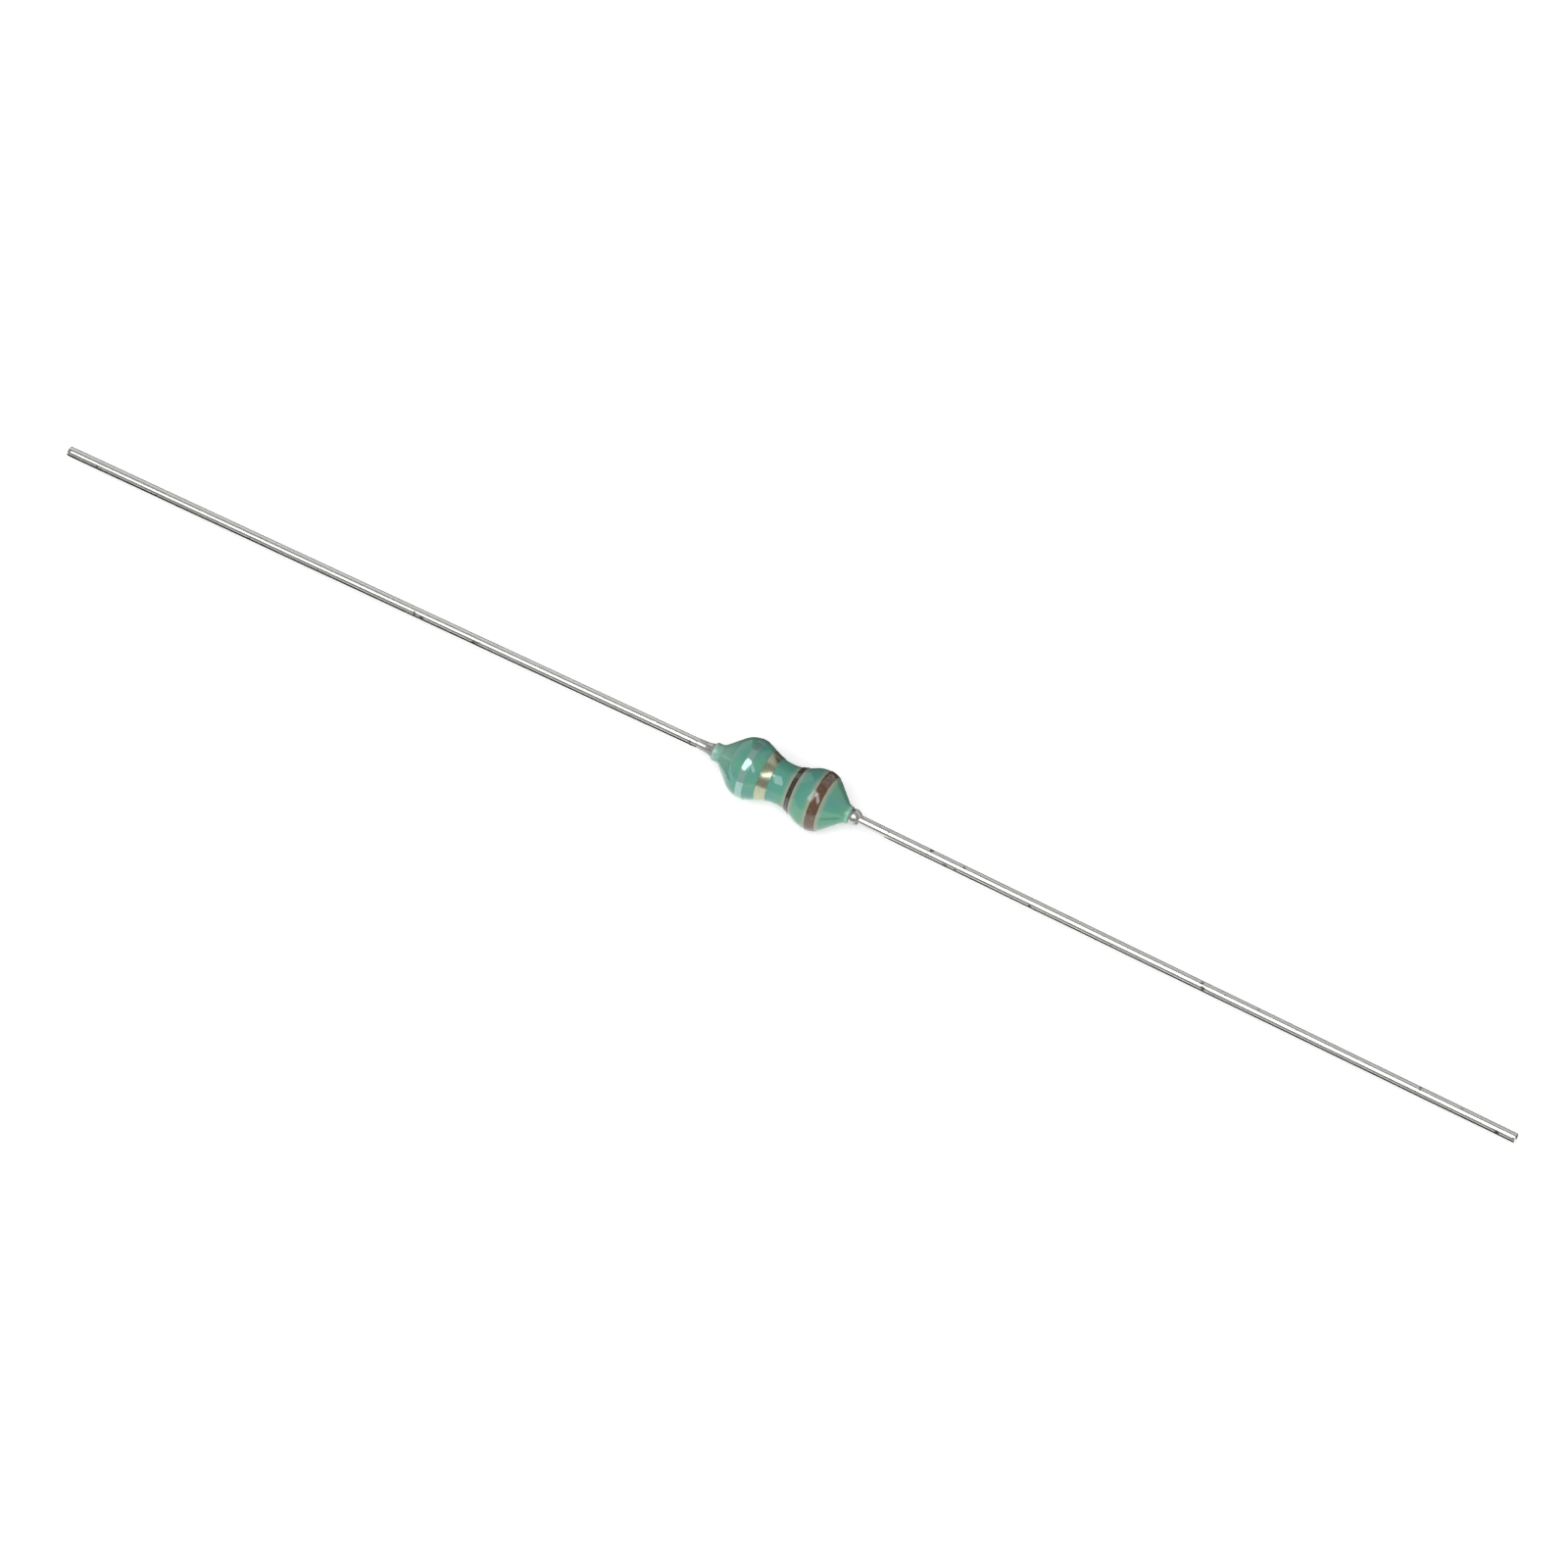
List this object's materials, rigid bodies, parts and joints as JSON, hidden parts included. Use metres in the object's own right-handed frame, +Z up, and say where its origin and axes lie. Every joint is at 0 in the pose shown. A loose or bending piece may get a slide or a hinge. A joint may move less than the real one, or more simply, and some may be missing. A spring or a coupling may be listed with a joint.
{
  "type": "axial inductor",
  "caption": "Small axial inductor: a dog-bone body in green epoxy with colour bands, and a long straight tinned wire lead from each end.",
  "frame": {"origin": "centre of the part's box, on the long axis of the body, halfway between its two crests", "axes": "+X along the body towards the lead beside the brown band, +Z up, against the droop of both leads"},
  "size_m": [0.064, 0.0026, 0.0026],
  "materials": {
    "ferrite": "matte",
    "enamelled_copper": "gloss",
    "tinned_copper": "satin",
    "adhesive": "gloss",
    "solder": "satin",
    "green_epoxy": "gloss",
    "brown_ink": "gloss",
    "black_ink": "gloss",
    "gold_ink": "gloss",
    "silver_ink": "gloss"
  },
  "bodies": {
    "root": {"ferrite_core": "ferrite", "winding": "enamelled_copper", "lead_left": "tinned_copper", "lead_right": "tinned_copper", "lead_bond_left": "adhesive", "lead_bond_right": "adhesive", "solder_left": "solder", "solder_right": "solder", "coat": "green_epoxy", "band_brown": "brown_ink", "band_black": "black_ink", "band_gold": "gold_ink", "band_silver": "silver_ink"}
  },
  "joints": []
}
